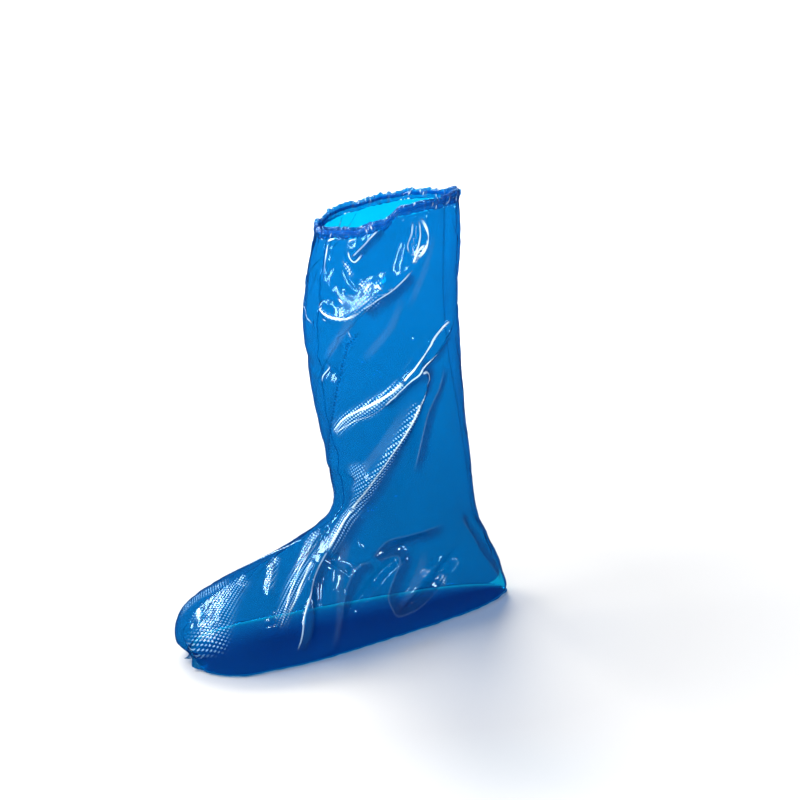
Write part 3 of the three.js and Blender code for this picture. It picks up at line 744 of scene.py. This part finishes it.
# ---------------------------------------------------------------------------
# Seam welds. The two panels are heat-welded edge to edge down the front and the back, which leaves a
# narrow, flat, slightly crimped fin of doubled film along each seam.
# ---------------------------------------------------------------------------
FIN_ROOT = -0.5  # the fin starts this far inside the seam's line
FIN_WIDE = 1.7


# A point of the tables in the scene, in metres from the middle of the leg opening.
def placed(x, y, z):
    return Vector((x - OPENING_X, y, z - OPENING_Z)) * MM


# The way square to a flat line, to its right hand, at each of its points.
def right_of(line):
    heading = np.gradient(line, axis=0)
    heading /= np.linalg.norm(heading, axis=1, keepdims=True)
    return np.stack([heading[:, 1], -heading[:, 0]], -1)


# The fin of the front seam, around 0, or of the back one, around 1, between two rows of SECTIONS. sign
# is the hand that it stands out to.
def seam_fin(name, around, first, last, sign, steps):
    seam = bag(-1, np.linspace(first, last, 900), around)
    length = run_along(seam)
    run = np.linspace(0, length[-1], steps + 1)
    line = np.stack([np.interp(run, length, seam[:, k]) for k in (0, 2)], -1)
    out = right_of(line) * sign
    bm = bmesh.new()
    bmesh.ops.create_grid(bm, x_segments=steps, y_segments=5, size=0.5)
    uv = bm.loops.layers.uv.new("flat")
    flat_at = {}
    for vert in bm.verts:
        i = round((vert.co.x + 0.5) * steps)
        share = vert.co.y + 0.5
        reach = FIN_ROOT + share * (FIN_WIDE + 0.4 * noise.noise(Vector((run[i] / 14, 3.0, sign))))
        x, z = line[i] + out[i] * reach
        crimp = 0.35 * noise.noise(Vector((run[i] / 7, 9.0, sign))) + 0.15 * math.sin(run[i] * 1.9)
        y = crimp * max(share - 0.3, 0) * 2
        flat_at[vert] = (run[i] * MM, reach * MM)
        vert.co = placed(*settle_front(np.array((x, y, max(z, SOLE_TOP - 0.6)))))
    return make_sheet(name, bm, uv, flat_at)


welded = film_finish(
    "welded_seam",
    thin=(0.80, 0.96, 0.99, 1),
    slanted=(0.60, 0.92, 0.97, 1),
    body=(0.0, 0.15, 0.45, 1),
    density=0.04,
    emboss=0.2,
    creases=0.2,
    pleats=0.0,
)
for name, around, first, last, sign, steps, node in (
    ("front_seam_fin", 0, 0, LAST_ROW, 1, 420, "front_weld"),
    ("back_seam_fin", 1, 0, HEEL_CORNER, -1, 320, "back_weld"),
):
    fin = seam_fin(name, around, first, last, sign, steps)
    fin.data.materials.append(welded)
    thicken(fin, 0)
    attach(fin, "root")
    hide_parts(node)

# ---------------------------------------------------------------------------
# Sole gusset. A flat piece of the same film under the foot, welded round its edge to both panels. The
# weld leaves a narrow lip all round and two flat corners that stick out at the toe.
# ---------------------------------------------------------------------------
SOLE_ALONG = 220
SOLE_ACROSS = 100
LIP = 2.2
LIP_SHARE = 0.1  # how much of the grid's half width makes the lip
# The lip's doubled film is tinted deeper, partly as painted shade along the bottom edge.
LIP_DOUBLE_AND_SHADE = {-1: 1.0, 1: 0.3}  # how much the lip shows as doubled film on the left and on the right
EAR_REACH = 6.5  # how far each corner sticks out at the toe
EAR_AT = 9.5  # how far it lies from the sole's middle line
EAR_HALF = 3.5  # half its width
SOLE_REST = 0.7  # height of the film over the floor
SOLE_LEAST = 0.4  # the least that it may be
EDGE_LIGHTENING = {-1: 0.3, 1: 0.85}  # how much the film is painted clearer towards its left and its right edge, painted light where shade lies under the sole

fine = np.linspace(HEEL_CORNER, LAST_ROW, 1200)
length = run_along(bag(1, fine, 1.0)[:, :2])
stops = np.interp(np.linspace(0, length[-1], SOLE_ALONG + 1), length, fine)
edge = bag(1, stops, 1.0)[:, :2]
lip_out = right_of(edge)
ear = np.exp(-(((edge[:, 1] - EAR_AT) / EAR_HALF) ** 2)) * (edge[:, 0] < -200)
bm = bmesh.new()
bmesh.ops.create_grid(bm, x_segments=SOLE_ALONG, y_segments=SOLE_ACROSS, size=0.5)
uv = bm.loops.layers.uv.new("flat")
shade_and_highlight_bands = bm.verts.layers.float_vector.new("shade_and_highlight_bands")
flat_at = {}
for vert in bm.verts:
    i = round((vert.co.x + 0.5) * SOLE_ALONG)
    v = vert.co.y * 2
    hand = 1 if v >= 0 else -1
    inner = min(abs(v) / (1 - LIP_SHARE), 1)
    outer = max(abs(v) - (1 - LIP_SHARE), 0) / LIP_SHARE
    reach = EAR_REACH * ear[i] * outer
    lip = LIP * outer * (1 + 0.7 * noise.noise(Vector((edge[i, 0] / 11, 6.0 * hand, 2.0))))
    x = edge[i, 0] + lip_out[i, 0] * lip - reach
    y = edge[i, 1] * inner + lip_out[i, 1] * lip + 0.25 * reach
    ripple = 0.35 * noise.noise(Vector((x / 16, hand * y / 16, 4.0)))
    curl = 0.04 * reach**2 + (0.5 + ripple) * outer
    wave = 0.25 * noise.noise(Vector((x / 30, hand * y / 30, 8.0))) * (1 - outer)
    flat_at[vert] = (x * MM, hand * y * MM)
    # The lip is tinted deeper as doubled film, partly painted shade along the sole's edge.
    doubled_and_shaded = LIP_DOUBLE_AND_SHADE[hand] if ear[i] < 0.1 else 1.0
    # The film between is painted clearer towards the edges: painted light over the shade under the sole.
    lightened_edge = EDGE_LIGHTENING[hand] * (1 - outer) * min(max((abs(v) - 0.1) / 0.7, 0), 1)
    vert[shade_and_highlight_bands] = (0, doubled_and_shaded if outer > 0 else 0, lightened_edge)
    z = max(SOLE_REST + curl + wave, SOLE_LEAST)
    vert.co = placed(*settle_front(np.array((x, hand * y, z))))
sole = make_sheet("sole_film", bm, uv, flat_at, closed=True)
sole.data.materials.append(film)
thicken(sole, 0)
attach(sole, "root")
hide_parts("sole_gusset")

# ---------------------------------------------------------------------------
# Top hem. The panels' upper edge is turned over a loop of elastic and welded down, which makes a soft
# ruffled tube. The elastic draws it into small pleats, and it swells, narrows and leans by turns.
# ---------------------------------------------------------------------------
HEM_AROUND = 960
HEM_SECTION = 32
HEM_HIGH = 10.5
HEM_DEEP = 5.0
HEM_TAKE_UP = 1.7  # how much film is gathered into each length of the hem


# The line of the panels' top edge, once round from the front seam by the left side.
def rim_line(turn):
    side = np.where(turn < 0.5, -1, 1)
    around = np.where(side < 0, 2 * turn, 2 - 2 * turn)
    near, far = bag(-1, 0 * turn, around), bag(1, 0 * turn, around)
    point = np.where(side[:, None] < 0, near, far)
    point[:, 2] += np.where(side < 0, rim_rise(-1, around), rim_rise(1, around))
    return point


turn = np.arange(HEM_AROUND + 1) / HEM_AROUND
rim = rim_line(turn)
run = run_along(rim)
tangent = np.roll(rim[:-1], -1, axis=0) - np.roll(rim[:-1], 1, axis=0)
tangent = np.vstack([tangent, tangent[:1]])
rim_out = np.stack([tangent[:, 1], -tangent[:, 0], 0 * turn], -1)
rim_out /= np.linalg.norm(rim_out, axis=1, keepdims=True)


# Noise round the loop, which meets itself at the end.
def loop_noise(size, seed):
    radius = run[-1] / 2 / math.pi / size
    spots = np.stack([radius * np.cos(2 * math.pi * turn), radius * np.sin(2 * math.pi * turn)], -1)
    return wave_noise(spots, 1.0, seed)


# Noise with its valleys folded up, which gives rounded tucks with sharp creases between them.
def tucks(values):
    return np.sqrt(np.abs(values) + 0.01) * 1.8 - 0.9


# Short painted glints on the hem, pale colour with a small ridge under it where a pleat is pressed sharp:
# their places round it, and how each one lies on the tube's section, leans and shines.
GLINTS = 90
GLINT_HALF = 0.7  # half of a glint's width
GLINT_RUN = 2.2  # how far it runs to either end
chance = np.random.default_rng(7)
glint_at = np.cumsum(chance.uniform(2.2, 7.5, GLINTS))
glint_phi = chance.uniform(-0.5, 3.6, GLINTS)
glint_lean = chance.uniform(-0.7, 0.7, GLINTS)
glint_shine = chance.uniform(0.15, 1.0, GLINTS) ** 1.5

small, middling, large = tucks(loop_noise(3.6, 21)), tucks(loop_noise(7.5, 22)), loop_noise(24, 23)
tilting, rising, pinching = loop_noise(13, 24), loop_noise(9, 25), loop_noise(18, 26)
bm = bmesh.new()
bmesh.ops.create_grid(bm, x_segments=HEM_AROUND, y_segments=HEM_SECTION, size=0.5)
uv = bm.loops.layers.uv.new("flat")
crease = bm.verts.layers.float_vector.new("crease")
ridge_and_painted_highlight = bm.verts.layers.float_vector.new("ridge_and_painted_highlight")
flat_at = {}
for vert in bm.verts:
    i = round((vert.co.x + 0.5) * HEM_AROUND)
    phi = (vert.co.y + 0.5) * 2 * math.pi
    deep = HEM_DEEP / 2 * (1 + 0.45 * pinching[i])
    high = HEM_HIGH / 2 * (1 + 0.12 * rising[i])
    square = (abs(math.cos(phi)) ** 3 + abs(math.sin(phi)) ** 3) ** (-1 / 3)
    out = deep * square * math.cos(phi)
    up = high * square * math.sin(phi) * (1 + 0.22 * small[i] + 0.16 * middling[i])
    ruffle = 1.4 * middling[i] + 1.9 * small[i] * (0.6 + 0.4 * math.sin(phi))
    pucker = 0.6 * noise.noise(Vector((run[i] / 2.6, up / 2.6, 5.0)))
    out += ruffle + pucker - HEM_DEEP / 2 + 0.4
    tilt = 0.5 * tilting[i]
    out, up = out * math.cos(tilt) - up * math.sin(tilt), out * math.sin(tilt) + up * math.cos(tilt)
    point = rim[i] + rim_out[i] * (out + 0.8 * large[i])
    rise = HEM_HIGH / 2 - 0.4 + up + 1.0 * rising[i] + 0.8 * large[i]
    flat_at[vert] = (run[i] * HEM_TAKE_UP * MM, phi * 3.5 * MM)
    n = int(np.abs(glint_at - run[i]).argmin())
    off = (phi - math.pi * 2 * round((phi - glint_phi[n]) / math.pi / 2) - glint_phi[n]) * HEM_HIGH / 2
    vert[crease] = ((run[i] - glint_at[n] - glint_lean[n] * off) / GLINT_HALF, FAR_OFF, FAR_OFF)
    vert[ridge_and_painted_highlight] = (glint_shine[n] * math.exp(-((off / GLINT_RUN) ** 2)), 0, 0)
    vert.co = placed(point[0], point[1], point[2] + rise)
hem = make_sheet("gathered_hem", bm, uv, flat_at, closed=True)
hem_film = film_finish(
    "gathered_film",
    thin=(0.04, 0.70, 0.89, 1),
    slanted=(0.005, 0.50, 0.78, 1),
    body=(0.0, 0.09, 0.28, 1),
    density=0.15,
    emboss=0.4,
    creases=1.0,
    pleats=1.0,
)
hem.data.materials.append(hem_film)
thicken(hem, -1)
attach(hem, "root")
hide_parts("top_hem")

# ---------------------------------------------------------------------------
# Elastic band. A loop of narrow braided elastic lies loose in the hem's tube, and shows through the film
# as a denser stripe.
# ---------------------------------------------------------------------------
BAND_HALF_DEEP = 0.45
BAND_HALF_HIGH = 1.7
bm = bmesh.new()
bmesh.ops.create_grid(bm, x_segments=HEM_AROUND // 2, y_segments=8, size=0.5)
uv = bm.loops.layers.uv.new("flat")
flat_at = {}
for vert in bm.verts:
    i = round((vert.co.x + 0.5) * HEM_AROUND)
    phi = (vert.co.y + 0.5) * 2 * math.pi
    out = BAND_HALF_DEEP * math.cos(phi) - HEM_DEEP / 2 + 1.1 * middling[i] + 0.6 * small[i]
    up = BAND_HALF_HIGH * math.sin(phi) + HEM_HIGH / 2 + 0.8 * rising[i] + 0.5 * small[i]
    point = rim[i] + rim_out[i] * (out + 0.8 * large[i])
    flat_at[vert] = (run[i] * MM, phi * MM)
    vert.co = placed(point[0], point[1], point[2] + up + 0.8 * large[i])
band = make_sheet("braided_elastic", bm, uv, flat_at, closed=True)
braid = Finish("braided_elastic")
flat = braid.node("ShaderNodeUVMap", {"uv_map": "flat"}, {})
ribs = braid.node("ShaderNodeTexWave", {"wave_type": "BANDS"}, {"Vector": flat, "Scale": 900.0}, out=1)
ribbed = braid.node("ShaderNodeBump", {}, {"Strength": 0.6, "Distance": 0.0003, "Height": ribs})
rubber = {"Base Color": (0.04, 0.24, 0.55, 1), "Roughness": 0.7, "Normal": ribbed}
braid.node("ShaderNodeOutputMaterial", {}, {0: braid.node("ShaderNodeBsdfPrincipled", {}, rubber)})
band.data.materials.append(braid.material)
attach(band, "root")
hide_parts("elastic_band")

# ---------------------------------------------------------------------------
# Floor, lamps and camera. A pale floor runs out to a pale backdrop. Soft boxes and strips stand round
# the cover, and a broad soft sun over the far side throws its shadow forwards and to the right.
# ---------------------------------------------------------------------------
UNDER_SOLE = 0.0006
bm = bmesh.new()
bmesh.ops.create_grid(bm, x_segments=1, y_segments=1, size=40)
bmesh.ops.translate(bm, verts=bm.verts, vec=(0, 0, -OPENING_Z * MM - UNDER_SOLE))
floor = make_object("floor", bm)
paper = Finish("pale_floor")
place = paper.node("ShaderNodeTexCoord", {}, {}, out=3)
away = paper.node("ShaderNodeVectorMath", {"operation": "LENGTH"}, {0: place}, out=1)
pale = paper.node("ShaderNodeMapRange", {}, {0: away, 1: 0.5, 2: 2.5, 3: 0.28, 4: 0.92})
shade = paper.node("ShaderNodeCombineColor", {}, {0: pale, 1: pale, 2: pale})
paper_skin = paper.node("ShaderNodeBsdfPrincipled", {}, {"Base Color": shade, "Roughness": 0.8})
paper.node("ShaderNodeOutputMaterial", {}, {0: paper_skin})
floor.data.materials.append(paper.material)
floor.visible_glossy = False

# The backdrop lies all round and meets the floor far off, for a camera that sees so far. It is only
# seen: it lights and mirrors nothing.
bm = bmesh.new()
bmesh.ops.create_uvsphere(bm, u_segments=48, v_segments=24, radius=38)
backdrop = make_object("backdrop", bm)
glow = Finish("pale_backdrop")
glowing = glow.node("ShaderNodeEmission", {}, {"Color": (1, 1, 1, 1), "Strength": 1.4})
glow.node("ShaderNodeOutputMaterial", {}, {0: glowing})
backdrop.data.materials.append(glow.material)
backdrop.visible_diffuse = False
backdrop.visible_glossy = False
backdrop.visible_transmission = False
backdrop.visible_shadow = False

TARGET = Vector((0.016, 0, -0.193))


# The way from the target towards an azimuth and an elevation, in degrees. An azimuth of 0 stands square
# to the cover's left side.
def towards(azimuth, elevation):
    a, e = math.radians(azimuth), math.radians(elevation)
    return Vector((math.sin(a) * math.cos(e), -math.cos(a) * math.cos(e), math.sin(e)))


# A soft box that faces the target. One that isn't mirrored lights the film but doesn't show in its gloss.
def lamp(name, azimuth, elevation, distance, wide, high, power, mirrored=True):
    light = bpy.data.lights.new(name, "AREA")
    light.shape = "RECTANGLE"
    light.size = wide
    light.size_y = high
    light.energy = power
    away = towards(azimuth, elevation)
    made = bpy.data.objects.new(name, light)
    made.location = TARGET + away * distance
    made.rotation_euler = away.to_track_quat("Z", "Y").to_euler()
    made.visible_glossy = mirrored
    bpy.context.scene.collection.objects.link(made)


lamp("back_left_strip", -142, 42, 1.9, 2.2, 0.36, 90)
lamp("left_tall_box", -93, 24, 1.8, 0.4, 0.9, 28)
lamp("front_box", 14, 50, 1.9, 0.22, 0.3, 9)
lamp("right_box", 62, 24, 1.9, 0.2, 0.5, 9)
lamp("back_box", 150, 35, 2.0, 0.5, 0.5, 14)
lamp("front_fill", -50, 14, 2.2, 1.4, 1.0, 62, mirrored=False)
sun = bpy.data.lights.new("skylight", "SUN")
sun.energy = 7.0
sun.angle = math.radians(24)
skylight = bpy.data.objects.new("skylight", sun)
skylight.rotation_euler = Vector((0.394, 1.19, 1.0)).to_track_quat("Z", "Y").to_euler()
skylight.visible_glossy = False
bpy.context.scene.collection.objects.link(skylight)

world = bpy.data.worlds.new("studio")
world.use_nodes = True
background = world.node_tree.nodes["Background"]
background.inputs["Color"].default_value = (1, 1, 1, 1)
background.inputs["Strength"].default_value = 0.08
bpy.context.scene.world = world
bpy.context.scene.view_settings.view_transform = "Standard"
bpy.context.scene.cycles.transparent_max_bounces = 32

camera_data = bpy.data.cameras.new("camera")
camera_data.lens = 122.9
camera_data.sensor_width = 36
camera = bpy.data.objects.new("camera", camera_data)
away = towards(-35, 16)
camera.location = TARGET + away * 2.6
camera.rotation_euler = away.to_track_quat("Z", "Y").to_euler()
bpy.context.scene.collection.objects.link(camera)
bpy.context.scene.camera = camera
